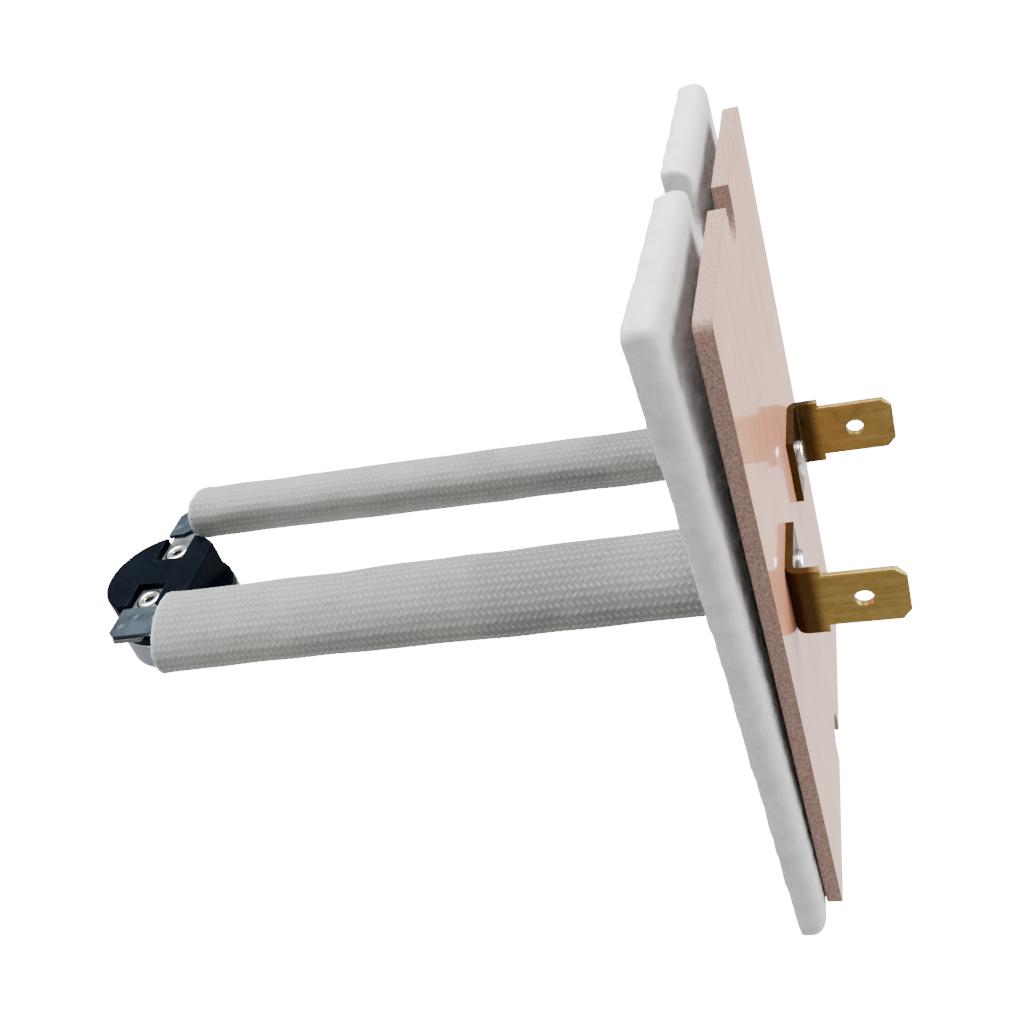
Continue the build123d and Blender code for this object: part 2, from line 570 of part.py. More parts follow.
# Moving contact: a contact rivet staked through the blade's tip
with BuildPart() as moving_contact:
    with BuildSketch(thermo_level(blade_bottom_z)):
        with Locations((0, CONTACT_Y)):
            Circle(CONTACT_RADIUS)
    extrude(amount=-CONTACT_HEIGHT)
    with BuildSketch(thermo_level(blade_bottom_z)):
        with Locations((0, CONTACT_Y)):
            Circle(CONTACT_STAKE_RADIUS)
    extrude(amount=BLADE_THICKNESS + CONTACT_STAKE_HEAD_HEIGHT)
    with BuildSketch(thermo_level(blade_bottom_z + BLADE_THICKNESS)):
        with Locations((0, CONTACT_Y)):
            Circle(CONTACT_STAKE_HEAD_RADIUS)
    extrude(amount=CONTACT_STAKE_HEAD_HEIGHT)
moving_contact.part.label = "moving_contact"
export_step(moving_contact.part, "parts/moving_contact.step")

# Fixed contact strip and its contact, under the far boss
with BuildPart() as fixed_contact_strip:
    with BuildSketch(thermo_level(FIXED_STRIP_TOP_Z - STRIP_THICKNESS)):
        with Locations((0, (FIXED_STRIP_INNER_Y + STRIP_OUTER_Y) / 2)):
            Rectangle(STRIP_WIDTH, STRIP_OUTER_Y - FIXED_STRIP_INNER_Y)
        with Locations((0, EYELET_Y)):
            Circle(EYELET_HOLE_RADIUS, mode=Mode.SUBTRACT)
    extrude(amount=STRIP_THICKNESS)
fixed_contact_strip.part.label = "fixed_contact_strip"
export_step(fixed_contact_strip.part, "parts/fixed_contact_strip.step")

fixed_contact_height = blade_bottom_z - CONTACT_HEIGHT - BLADE_GAP - FIXED_STRIP_TOP_Z
with BuildPart() as fixed_contact:
    with BuildSketch(thermo_level(FIXED_STRIP_TOP_Z)):
        with Locations((0, CONTACT_Y)):
            Circle(CONTACT_RADIUS)
    extrude(amount=fixed_contact_height)
fixed_contact.part.label = "fixed_contact"
export_step(fixed_contact.part, "parts/fixed_contact.step")
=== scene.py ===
"""Looks for a duct high-limit thermostat: braided sleeves, a soft gasket and finishes on its CAD nodes.

Lengths are in metres in the CAD frame: the origin is the centre of the plate's back face, +X points out
of the plate's front and +Z is up.
"""

import json
import math
import random

import bpy
import numpy as np
from mathutils import Matrix, Vector, noise


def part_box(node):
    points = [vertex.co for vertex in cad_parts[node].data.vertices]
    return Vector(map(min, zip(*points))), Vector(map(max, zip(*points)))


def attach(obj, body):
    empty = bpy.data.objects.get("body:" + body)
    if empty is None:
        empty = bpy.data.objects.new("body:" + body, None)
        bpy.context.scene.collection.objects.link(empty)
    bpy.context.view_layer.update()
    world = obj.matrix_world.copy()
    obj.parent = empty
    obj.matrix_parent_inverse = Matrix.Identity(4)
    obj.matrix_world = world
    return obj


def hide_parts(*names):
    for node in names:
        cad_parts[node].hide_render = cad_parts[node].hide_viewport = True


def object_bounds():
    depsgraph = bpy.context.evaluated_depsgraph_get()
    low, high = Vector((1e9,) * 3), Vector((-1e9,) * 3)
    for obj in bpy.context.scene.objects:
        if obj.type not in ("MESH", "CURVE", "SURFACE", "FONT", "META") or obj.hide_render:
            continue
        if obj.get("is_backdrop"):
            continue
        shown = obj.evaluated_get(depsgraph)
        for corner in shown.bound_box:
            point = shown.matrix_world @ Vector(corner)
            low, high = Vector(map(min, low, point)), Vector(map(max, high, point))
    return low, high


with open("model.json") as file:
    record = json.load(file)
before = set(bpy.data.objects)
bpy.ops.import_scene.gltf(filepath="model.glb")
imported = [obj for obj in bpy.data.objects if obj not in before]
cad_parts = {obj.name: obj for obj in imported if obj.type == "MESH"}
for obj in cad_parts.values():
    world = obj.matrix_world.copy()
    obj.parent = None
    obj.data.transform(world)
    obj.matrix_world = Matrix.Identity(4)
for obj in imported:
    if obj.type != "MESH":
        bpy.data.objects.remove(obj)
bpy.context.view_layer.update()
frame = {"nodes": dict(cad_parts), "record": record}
rng = random.Random(11)


# ------------------------------------------------------------------ material helpers
class Finish:
    """A material and short ways to add and join its nodes."""

    def __init__(self, name):
        self.material = bpy.data.materials.new(name)
        self.material.use_nodes = True
        self.tree = self.material.node_tree
        self.tree.nodes.clear()
        output = self.add("ShaderNodeOutputMaterial")
        self.shader = self.add("ShaderNodeBsdfPrincipled")
        self.join(self.shader.outputs[0], output.inputs["Surface"])
        self.place = self.add("ShaderNodeTexCoord").outputs["Object"]
        self.normal = self.add("ShaderNodeNewGeometry").outputs["Normal"]

    def add(self, kind, **settings):
        node = self.tree.nodes.new(kind)
        for key, value in settings.items():
            setattr(node, key, value)
        return node

    def join(self, source, target):
        self.tree.links.new(source, target)

    def feed(self, target, value):
        if isinstance(value, bpy.types.NodeSocket):
            self.join(value, target)
        else:
            target.default_value = value

    def set(self, name, value):
        self.feed(self.shader.inputs[name], value)

    def scaled(self, scale):
        """Object coordinates stretched by a separate scale on each axis."""
        node = self.add("ShaderNodeMapping")
        self.join(self.place, node.inputs["Vector"])
        node.inputs["Scale"].default_value = scale
        return node.outputs[0]

    def cloud(self, scale, detail=3.0, rough=0.5, stretch=None, distortion=0.0):
        """Noise, with scale in cells a metre."""
        node = self.add("ShaderNodeTexNoise")
        self.join(self.scaled(stretch) if stretch else self.place, node.inputs["Vector"])
        node.inputs["Scale"].default_value = scale
        node.inputs["Detail"].default_value = detail
        node.inputs["Roughness"].default_value = rough
        node.inputs["Distortion"].default_value = distortion
        return node.outputs["Fac"]

    def cells(self, scale):
        """Distance to the nearest of scattered points, with scale in points a metre."""
        node = self.add("ShaderNodeTexVoronoi")
        self.join(self.place, node.inputs["Vector"])
        node.inputs["Scale"].default_value = scale
        return node.outputs["Distance"]

    def ramp(self, source, low, high, out_low=0.0, out_high=1.0):
        """A smooth step from out_low to out_high as the source goes from low to high."""
        node = self.add("ShaderNodeMapRange", interpolation_type="SMOOTHSTEP")
        self.feed(node.inputs["Value"], source)
        for key, value in (("From Min", low), ("From Max", high), ("To Min", out_low), ("To Max", out_high)):
            node.inputs[key].default_value = value
        return node.outputs["Result"]

    def math(self, kind, a, b=0.0):
        node = self.add("ShaderNodeMath", operation=kind)
        self.feed(node.inputs[0], a)
        self.feed(node.inputs[1], b)
        return node.outputs[0]

    def mix(self, factor, a, b):
        """Colour a turning into colour b as the factor goes from 0 to 1."""
        node = self.add("ShaderNodeMix", data_type="RGBA")
        self.feed(node.inputs[0], factor)
        self.feed(node.inputs[6], a if isinstance(a, bpy.types.NodeSocket) else (*a, 1))
        self.feed(node.inputs[7], b if isinstance(b, bpy.types.NodeSocket) else (*b, 1))
        return node.outputs[2]

    def part(self, source, axis):
        """One component of a vector: 0 is X, 1 is Y and 2 is Z."""
        node = self.add("ShaderNodeSeparateXYZ")
        self.join(source, node.inputs[0])
        return node.outputs[axis]

    def near(self, point, radius):
        """1 at a point, falling to 0 at that radius."""
        node = self.add("ShaderNodeVectorMath", operation="DISTANCE")
        self.join(self.place, node.inputs[0])
        node.inputs[1].default_value = point
        return self.ramp(node.outputs["Value"], 0.0, radius, 1.0, 0.0)

    def attribute(self, name):
        return self.add("ShaderNodeAttribute", attribute_name=name).outputs["Fac"]

    def rounded(self, radius):
        """The normal with the edges rounded over."""
        node = self.add("ShaderNodeBevel", samples=6)
        node.inputs["Radius"].default_value = radius
        return node.outputs[0]

    def wear(self, radius=0.00018):
        """A narrow band along the edges, broken up by fine noise."""
        node = self.add("ShaderNodeVectorMath", operation="DOT_PRODUCT")
        self.join(self.rounded(radius), node.inputs[0])
        self.join(self.normal, node.inputs[1])
        band = self.ramp(node.outputs["Value"], 0.99, 0.88)
        return self.math("MULTIPLY", band, self.ramp(self.cloud(1900, 4, 0.7), 0.3, 0.62))

    def bump(self, *layers, edge=None):
        """Height layers of (height, depth in metres), the later ones on top, over edges rounded by edge."""
        previous = self.rounded(edge) if edge else None
        for height, depth in layers:
            node = self.add("ShaderNodeBump")
            self.feed(node.inputs["Height"], height)
            node.inputs["Distance"].default_value = depth
            node.inputs["Strength"].default_value = 1.0
            if previous:
                self.join(previous, node.inputs["Normal"])
            previous = node.outputs[0]
        self.join(previous, self.shader.inputs["Normal"])


def laminate():
    """Pressed fibre laminate: a glossy sealed front, painted shade greying the rear face in the gap against
    the gasket, and rough, speckled sawn edges.
    """
    f = Finish("laminate")
    facing = f.math("ABSOLUTE", f.part(f.normal, 0))
    edge = f.ramp(facing, 0.55, 0.8, 1.0, 0.0)
    streaks = f.cloud(260, 4, 0.6, stretch=(1, 2.6, 0.35), distortion=0.6)
    blotch = f.cloud(70, 3, 0.5)
    fibres = f.cloud(1500, 4, 0.7, stretch=(1, 1.0, 0.25))
    face = f.mix(f.ramp(streaks, 0.3, 0.7), (0.51, 0.195, 0.103), (0.62, 0.262, 0.147))
    face = f.mix(f.ramp(blotch, 0.35, 0.7, 0.0, 0.35), face, (0.78, 0.37, 0.225))
    face = f.mix(f.ramp(fibres, 0.55, 0.8, 0.0, 0.25), face, (0.80, 0.42, 0.28))
    # Painted shade: the rear face, in the gap against the gasket, is darkened towards grey.
    rear = f.ramp(f.part(f.normal, 0), -0.8, -0.55, 1.0, 0.0)
    face = f.mix(f.math("MULTIPLY", rear, 0.85), face, (0.20, 0.17, 0.16))
    specks = f.cloud(3600, 5, 0.7, stretch=(1.3, 1, 1))
    pits = f.cells(2100)
    sawn = f.mix(f.ramp(specks, 0.32, 0.66), (0.30, 0.175, 0.14), (0.50, 0.34, 0.28))
    sawn = f.mix(f.ramp(pits, 0.22, 0.05, 0.0, 0.5), sawn, (0.15, 0.08, 0.065))
    f.set("Base Color", f.mix(edge, face, sawn))
    f.set("Roughness", f.ramp(edge, 0.0, 1.0, 0.42, 0.85))
    f.set("Coat Weight", f.ramp(edge, 0.0, 1.0, 0.65, 0.0))
    f.set("Coat Roughness", 0.05)
    f.set("Coat IOR", 1.55)
    f.set("Specular IOR Level", 0.12)
    f.set("IOR", 1.5)
    sawn_height = f.math("MULTIPLY", specks, edge)
    face_height = f.math("MULTIPLY", streaks, f.math("SUBTRACT", 1.0, edge))
    f.bump((face_height, 0.000012), (fibres, 0.000002), (sawn_height, 0.00035), edge=0.0003)
    return f.material


def felt():
    """Soft white ceramic-fibre felt, with painted shade greying its front face in the gap against the plate,
    and its hollows.
    """
    f = Finish("fibre_felt")
    lumps = f.cloud(260, 4, 0.55)
    fibres = f.cloud(2600, 6, 0.75, stretch=(1, 0.5, 1.2), distortion=1.5)
    fine = f.cloud(7000, 4, 0.8, distortion=2.0)
    hollow_shade = f.attribute("hollow_shade")
    base = f.mix(f.ramp(lumps, 0.3, 0.7), (0.92, 0.92, 0.918), (0.97, 0.97, 0.97))
    base = f.mix(f.ramp(fibres, 0.35, 0.65, 0.35, 0.0), base, (0.74, 0.735, 0.73))
    # Painted shade: the front face, in the gap against the plate, is greyed.
    base = f.mix(f.ramp(f.part(f.normal, 0), 0.25, 0.95, 0.0, 0.36), base, (0.40, 0.38, 0.40))
    # Painted shade: the felt's hollows between lumps are greyed.
    f.set("Base Color", f.mix(hollow_shade, base, (0.60, 0.58, 0.57)))
    f.set("Roughness", 0.95)
    f.set("Specular IOR Level", 0.15)
    f.set("Sheen Weight", 0.35)
    f.set("Sheen Roughness", 0.6)
    f.set("Subsurface Weight", 0.25)
    f.set("Subsurface Radius", (0.0012, 0.0012, 0.0012))
    f.set("Subsurface Scale", 1.0)
    f.bump((lumps, 0.0004), (fibres, 0.00025), (fine, 0.00008))
    return f.material


def braid():
    """Woven glass yarn, darker towards the plate, with painted shade between the yarns and a painted glint
    on each crown where a yarn rides over another.
    """
    f = Finish("glass_braid")
    painted_crown_light = f.attribute("painted_crown_light")
    filament = f.attribute("filament")
    lines = f.math("SINE", f.math("MULTIPLY", filament, 2 * math.pi))
    stain = f.cloud(120, 3, 0.5)
    fuzz = f.cloud(5200, 4, 0.7)
    # Darker towards the plate end of the sleeve.
    darker_near_plate = f.ramp(f.part(f.place, 0), -0.062, -0.012, 0.0, 0.5)
    # Painted shade between the yarns, lighter towards each crown.
    base = f.mix(f.ramp(painted_crown_light, 0.0, 0.6), (0.195, 0.206, 0.190), (0.235, 0.245, 0.225))
    base = f.mix(darker_near_plate, base, (0.075, 0.082, 0.078))
    # Painted highlight: a glint on each yarn's crown.
    base = f.mix(f.ramp(painted_crown_light, 0.82, 1.0, 0.0, 0.9), base, (0.34, 0.355, 0.335))
    base = f.mix(f.ramp(stain, 0.35, 0.7, 0.0, 0.18), base, (0.50, 0.51, 0.46))
    base = f.mix(f.attribute("frayed"), base, (0.62, 0.70, 0.80))
    f.set("Base Color", base)
    f.set("Roughness", f.ramp(fuzz, 0.3, 0.7, 0.62, 0.82))
    f.set("Specular IOR Level", 0.25)
    f.set("Sheen Weight", 0.15)
    f.set("Sheen Roughness", 0.45)
    f.bump((lines, 0.000012), (fuzz, 0.00002))
    return f.material


HEEL_SHADE_END = 0.0050  # where the painted shade on a tab's heel ends, out from the plate's back face


def brass():
    """Rolled brass, dulled in use, with bright sheared edges and painted shade darkening the heel at each
    bend.
    """
    f = Finish("tab_brass")
    sheared = f.ramp(f.math("ABSOLUTE", f.part(f.normal, 2)), 0.25, 0.6)
    grain = f.cloud(900, 4, 0.6, stretch=(0.12, 1, 1.6))
    tarnish = f.cloud(330, 4, 0.6, distortion=0.8)
    spots = f.cloud(1500, 3, 0.6)
    heel_shade = f.ramp(f.part(f.place, 0), HEEL_SHADE_END - 0.0014, HEEL_SHADE_END, 1.0, 0.0)
    face = f.mix(f.ramp(tarnish, 0.3, 0.72), (0.15, 0.092, 0.023), (0.22, 0.148, 0.041))
    face = f.mix(f.ramp(grain, 0.4, 0.7, 0.0, 0.35), face, (0.36, 0.255, 0.085))
    face = f.mix(f.ramp(spots, 0.62, 0.75, 0.0, 0.5), face, (0.22, 0.14, 0.06))
    face = f.mix(f.math("MULTIPLY", sheared, 0.8), face, (0.44, 0.30, 0.085))
    face = f.mix(f.math("MULTIPLY", f.wear(), 0.6), face, (0.58, 0.42, 0.15))
    # Painted shade: the heel at each bend is darkened almost to black.
    f.set("Base Color", f.mix(f.math("MULTIPLY", heel_shade, 0.9), face, (0.030, 0.013, 0.004)))
    f.set("Metallic", 1.0)
    f.set("Roughness", f.ramp(f.math("ADD", grain, tarnish), 0.6, 1.4, 0.24, 0.44))
    f.bump((grain, 0.000012), (spots, 0.000008), edge=0.0001)
    return f.material


def bright_metal(name, colour, rough_low, rough_high, dent=0.00002):
    """Bright metal on a pressed or upset shape, with handling marks and a faint haze."""
    f = Finish(name)
    marks = f.cloud(1800, 5, 0.65, distortion=0.5)
    haze = f.cloud(600, 3, 0.5)
    darker = tuple(0.72 * c for c in colour)
    f.set("Base Color", f.mix(f.ramp(haze, 0.3, 0.7), darker, colour))
    f.set("Metallic", 1.0)
    f.set("Roughness", f.ramp(marks, 0.3, 0.7, rough_low, rough_high))
    f.bump((haze, dent), (marks, dent * 0.5))
    return f.material


WELD_RADIUS = 0.0008


def plated_strip(name, light, dark, welds=()):
    """Plated strip, mottled, with rolling lines along it and a shallow dimple at each weld."""
    f = Finish(name)
    spangle = f.cells(1300)
    mottle = f.cloud(420, 4, 0.6)
    rolled = f.cloud(1400, 3, 0.6, stretch=(0.08, 1, 1))
    base = f.mix(f.ramp(mottle, 0.3, 0.7), dark, light)
    base = f.mix(f.ramp(spangle, 0.1, 0.6, 0.0, 0.3), base, tuple(0.7 * c for c in light))
    dip = 0.0
    for point in welds:
        dip = f.math("MAXIMUM", dip, f.near(point, WELD_RADIUS))
    if welds:
        base = f.mix(f.math("MULTIPLY", dip, 0.3), base, (0.08, 0.09, 0.10))
    base = f.mix(f.math("MULTIPLY", f.wear(), 0.6), base, tuple(min(1.0, 1.35 * c) for c in light))
    f.set("Base Color", base)
    f.set("Metallic", 0.9)
    f.set("Roughness", f.ramp(mottle, 0.3, 0.7, 0.36, 0.55))
    layers = [(rolled, 0.00002), (mottle, 0.00003)]
    if welds:
        layers.append((f.math("SUBTRACT", 1.0, dip), 0.00008))
    f.bump(*layers, edge=0.0001)
    return f.material


def phenolic():
    """Navy-black moulded phenolic with a slightly grainy skin and dulled edges."""
    f = Finish("phenolic")
    grain = f.cloud(2600, 4, 0.6)
    flow = f.cloud(380, 4, 0.6, distortion=1.0)
    dust = f.ramp(f.cloud(900, 5, 0.7), 0.55, 0.8, 0.0, 0.3)
    base = f.mix(f.ramp(flow, 0.3, 0.7), (0.0002, 0.0012, 0.0032), (0.0005, 0.0022, 0.0048))
    base = f.mix(dust, base, (0.003, 0.008, 0.015))
    f.set("Base Color", f.mix(f.math("MULTIPLY", f.wear(0.00025), 0.55), base, (0.02, 0.034, 0.05)))
    f.set("Roughness", f.ramp(flow, 0.3, 0.7, 0.3, 0.46))
    f.set("Specular IOR Level", 0.02)
    f.bump((flow, 0.00004), (grain, 0.00002), edge=0.00018)
    return f.material


def drawn_cup():
    """A drawn metal cup: fine draw lines down the wall and brighter worn edges."""
    f = Finish("drawn_cup")
    lines = f.cloud(2200, 4, 0.6, stretch=(1, 1, 0.06))
    haze = f.cloud(330, 4, 0.6)
    base = f.mix(f.ramp(haze, 0.3, 0.7), (0.125, 0.145, 0.168), (0.20, 0.222, 0.245))
    base = f.mix(f.ramp(lines, 0.5, 0.75, 0.0, 0.4), base, (0.14, 0.15, 0.165))
    f.set("Base Color", f.mix(f.math("MULTIPLY", f.wear(), 0.5), base, (0.75, 0.76, 0.77)))
    f.set("Metallic", 1.0)
    f.set("Roughness", f.ramp(haze, 0.3, 0.7, 0.3, 0.46))
    f.bump((lines, 0.00002), (haze, 0.00002), edge=0.00012)
    return f.material


def ceramic():
    """Unglazed steatite: cream, matt and faintly pitted."""
    f = Finish("steatite")
    body = f.cloud(1600, 4, 0.6)
    pits = f.cells(3000)
    f.set("Base Color", f.mix(f.ramp(body, 0.3, 0.7), (0.72, 0.68, 0.58), (0.84, 0.81, 0.73)))
    f.set("Roughness", f.ramp(pits, 0.1, 0.6, 0.8, 0.55))
    f.bump((body, 0.00003), (pits, 0.00001))
    return f.material


# ------------------------------------------------------------------ finishes on the CAD nodes
WELD_POINTS = [  # two weld dimples on each leg strip's sensor end, near then far
    (-0.0752, -0.0083, 0.00185), (-0.0766, -0.0098, 0.00185),
    (-0.0758, 0.0106, 0.00185), (-0.0769, 0.0092, 0.00185),
]
FINISHES = {
    "plate": laminate(),
    "tabs": brass(),
    "rivets": bright_metal("nickel", (0.86, 0.86, 0.85), 0.1, 0.26),
    "legs": plated_strip("zinc_strip", (0.036, 0.054, 0.068), (0.02, 0.030, 0.040), WELD_POINTS),
    "body": phenolic(),
    "cap": drawn_cup(),
    "terminals": plated_strip("tinned_strip", (0.13, 0.142, 0.15), (0.07, 0.078, 0.085)),
    "disc": bright_metal("bimetal", (0.55, 0.50, 0.44), 0.3, 0.45),
    "pin": ceramic(),
    "contacts": bright_metal("silver", (0.90, 0.89, 0.86), 0.2, 0.35),
}
for entry in frame["record"]["subparts"]:
    if entry["material_slot"] in FINISHES:
        mesh = frame["nodes"][entry["node"]].data
        mesh.materials.clear()
        mesh.materials.append(FINISHES[entry["material_slot"]])


def new_piece(name, vertices, faces, material, layers=None):
    """A smooth-shaded mesh object with optional float attributes on its points."""
    mesh = bpy.data.meshes.new(name)
    mesh.from_pydata([tuple(v) for v in vertices], [], [tuple(f) for f in faces])
    mesh.validate()
    mesh.polygons.foreach_set("use_smooth", [True] * len(mesh.polygons))
    for key, values in (layers or {}).items():
        mesh.attributes.new(key, "FLOAT", "POINT").data.foreach_set("value", np.asarray(values, np.float32))
    mesh.materials.append(material)
    piece = bpy.data.objects.new(name, mesh)
    bpy.context.scene.collection.objects.link(piece)
    return piece


# ------------------------------------------------------------------ braided sleeves
YARNS = 30                # yarns in each of the two directions
CROSSINGS_PER_M = 1370.0  # crossings of one row, along the sleeve
FILAMENTS = 5.0           # filament lines on a yarn
AROUND = 240              # points in a ring
STEP = 0.0001             # from one outer ring to the next
INNER_RINGS = 40
RELIEF = 0.00005          # depth of the weave
WALL = 0.0005
LIP_RUN = 0.0004          # the rim is rounded over this length
LIP_DROP = 0.00022
FLARE = 0.00016           # how far the cut end spreads
FLARE_RUN = 0.0012
FRAY_RUN = 0.0006         # length of the paler, frayed end
RAGGED = 0.00016          # how uneven the cut is
RAGGED_RUN = 0.0008
SLACK = 0.00010           # slow swelling along the sleeve
LUMPS = 0.00013           # dents and bulges around it
LOOSE_ENDS = 130
BRAID = braid()


def end_oval(node, low_end):
    """Centre, broad radius, narrow radius and tilt of the oval at one end of a CAD sleeve."""
    points = np.array([v.co for v in frame["nodes"][node].data.vertices])
    x_end = points[:, 0].min() if low_end else points[:, 0].max()
    ring = points[np.abs(points[:, 0] - x_end) < STEP / 2][:, 1:]
    centre = (ring.min(0) + ring.max(0)) / 2
    away = ring - centre
    far = away[np.argmax(np.hypot(away[:, 0], away[:, 1]))]
    broad = np.hypot(*far)
    tilt = math.atan2(far[1], far[0])
    across = np.abs(away @ np.array([-math.sin(tilt), math.cos(tilt)]))
    return np.array([x_end, *centre]), broad, across.max(), tilt


def oval_ring(theta, broad, narrow, lift):
    """Points around an oval, each moved out along its normal by lift."""
    normal = np.stack([np.cos(theta) / broad, np.sin(theta) / narrow], 1)
    normal /= np.hypot(normal[:, 0], normal[:, 1])[:, None]
    oval = np.stack([broad * np.cos(theta), narrow * np.sin(theta)], 1)
    return oval + normal * np.reshape(lift, (-1, 1))


def even_angles(broad, narrow, share):
    """The angles on an oval that cut its outline at these shares of its length."""
    angle = np.linspace(0, 2 * math.pi, 4000)
    oval = np.stack([broad * np.cos(angle), narrow * np.sin(angle)], 1)
    walked = np.concatenate([[0], np.cumsum(np.hypot(*np.diff(oval, axis=0).T))])
    return np.interp(share * walked[-1], walked, angle)


def weave(x, share, skew):
    """Crown height and filament phase around a ring, for two-over, two-under yarns."""
    u = share * YARNS + x * CROSSINGS_PER_M + skew
    v = share * YARNS - x * CROSSINGS_PER_M + 0.5 * skew
    fu, fv = u - np.floor(u), v - np.floor(v)
    phase = (np.floor(u) + np.floor(v)) % 4
    over = phase < 1.5
    width = np.where(over, fu, fv)
    length = (np.where(over, fv, fu) + phase % 2) / 2
    crown = np.sin(math.pi * width) ** 0.6 * np.sin(math.pi * length) ** 0.8
    return crown, np.where(over, u, v) * FILAMENTS


def braided_sleeve(node, name):
    """A flattened braided tube: over-and-under yarns in the outer skin, a rounded lip and frayed ends."""
    first, broad, narrow, tilt = end_oval(node, True)
    last = end_oval(node, False)[0]
    run = last[0] - first[0]
    share = np.arange(AROUND) / AROUND
    theta = even_angles(broad, narrow, share)
    seed = Vector((first[1] * 900, 3.7, 8.1))
    turn = np.array([[math.cos(tilt), -math.sin(tilt)], [math.sin(tilt), math.cos(tilt)]])
    rings, painted_crown_light, filament, frayed = [], [], [], []

    def wobble(*place):
        return noise.noise(Vector(place) + seed)

    def add_ring(t, xs, lift):
        ring = oval_ring(theta, broad, narrow, lift) @ turn.T
        rings.append(np.column_stack([xs, ring + (first + (last - first) * t)[1:]]))

    for t in np.linspace(0, 1, int(run / STEP) + 1):
        x = first[0] + t * run
        from_cut = t * run
        from_end = min(t, 1 - t) * run
        lip = math.sqrt(max(0.0, 1 - (1 - min(1.0, from_end / LIP_RUN)) ** 2))
        skew = 0.25 * wobble(x * 60, 5, 0) + 0.12 * wobble(x * 260, 9, 0)
        crown, lines = weave(x, share, skew)
        painted_crown_light.extend(crown)
        filament.extend(lines)
        frayed.extend([max(0.0, 1 - from_cut / FRAY_RUN) * 0.8] * AROUND)
        lumps = np.array([wobble(x * 160, 2.2 * math.cos(q), 2.2 * math.sin(q)) for q in theta[::8]])
        lift = RELIEF * (crown - 1) - (1 - lip) * LIP_DROP
        lift = lift + SLACK * wobble(x * 90, 0, 0) + FLARE * math.exp(-from_cut / FLARE_RUN)
        lift = lift + np.interp(share, share[::8], lumps, period=1.0) * LUMPS
        xs = np.full(AROUND, x)
        if from_cut < RAGGED_RUN:
            ragged = np.array([wobble(6 * math.cos(q), 6 * math.sin(q), 4) for q in theta])
            xs = xs + RAGGED * ragged * (1 - from_cut / RAGGED_RUN)
        add_ring(t, xs, lift)
    for t in np.linspace(1, 0, INNER_RINGS):
        inset = WALL - FLARE * math.exp(-(t * run) / FLARE_RUN)
        add_ring(t, np.full(AROUND, first[0] + t * run), -inset)
        painted_crown_light.extend([0.45] * AROUND)
        filament.extend(share * YARNS * FILAMENTS)
        frayed.extend([0.0] * AROUND)

    faces = []
    for i in range(len(rings)):
        base, above = i * AROUND, (i + 1) % len(rings) * AROUND
        for k in range(AROUND):
            m = (k + 1) % AROUND
            faces.append((base + k, base + m, above + m, above + k))
    vertices = list(np.concatenate(rings))
    layers = {"painted_crown_light": painted_crown_light, "filament": filament, "frayed": frayed}
    loose_ends(vertices, faces, layers, first, broad, narrow, turn)
    piece = new_piece(name, vertices, faces, BRAID, layers)
    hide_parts(node)
    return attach(piece, "housing")


def loose_ends(vertices, faces, layers, first, broad, narrow, turn):
    """Short filament ends that stand out of the cut rim, as thin closed spikes."""
    for _ in range(LOOSE_ENDS):
        q = rng.uniform(0, 2 * math.pi)
        inset = rng.uniform(0.00005, 0.0004)
        root = turn @ np.array([(broad - inset) * math.cos(q), (narrow - inset) * math.sin(q)])
        outward = turn @ np.array([math.cos(q), math.sin(q)])
        start = np.array([first[0] + 0.00025, first[1] + root[0], first[2] + root[1]])
        reach = rng.uniform(0.0003, 0.0008)
        spread = rng.uniform(-0.25, 0.45)
        heading = np.array([-1.0, outward[0] * spread, outward[1] * spread])
        heading += np.array([0, rng.uniform(-0.3, 0.3), rng.uniform(-0.3, 0.3)])
        tip = start + heading * reach
        half = rng.uniform(0.00002, 0.00004)
        base = len(vertices)
        for corner in range(3):
            turned = corner * 2 * math.pi / 3
            vertices.append(start + np.array([0, half * math.cos(turned), half * math.sin(turned)]))
        vertices.append(tip)
        faces.extend([(base, base + 2, base + 1), (base, base + 1, base + 3)])
        faces.extend([(base + 1, base + 2, base + 3), (base + 2, base, base + 3)])
        # Loose ends take part of the painted crown glint.
        layers["painted_crown_light"].extend([0.9] * 4)
        layers["filament"].extend([0.0] * 4)
        layers["frayed"].extend([0.9] * 4)


braided_sleeve("far_sleeve", "far_braided_sleeve")
braided_sleeve("near_sleeve", "near_braided_sleeve")


# ------------------------------------------------------------------ gasket
THICKNESS = 0.003
ROUNDING = 0.0019     # radius of the front edges
VOXEL = 0.00036
LUMP = 0.00010        # height of the felt's lumps
SHRINK = 0.00006      # keeps the lumps inside the CAD solid
STAND_OFF = 0.0075    # sets how far the near top corner bends away from the plate
PROUD = 0.0015        # rise of the top edge
SLOT_PUSH = 0.0026    # how far the top slot's near wall leans towards +Y at the front
FAR_FLARE = 0.0008    # how far the far edge stands out at the front
FAR_TAPER = 0.0024    # how much of that it loses towards the rear


def away_from_middle(values, low, high):
    """Signed distances from the middle, and how far inside the ends each one is."""
    offset = values - (low + high) / 2
    return np.sign(offset), (high - low) / 2 - np.abs(offset)


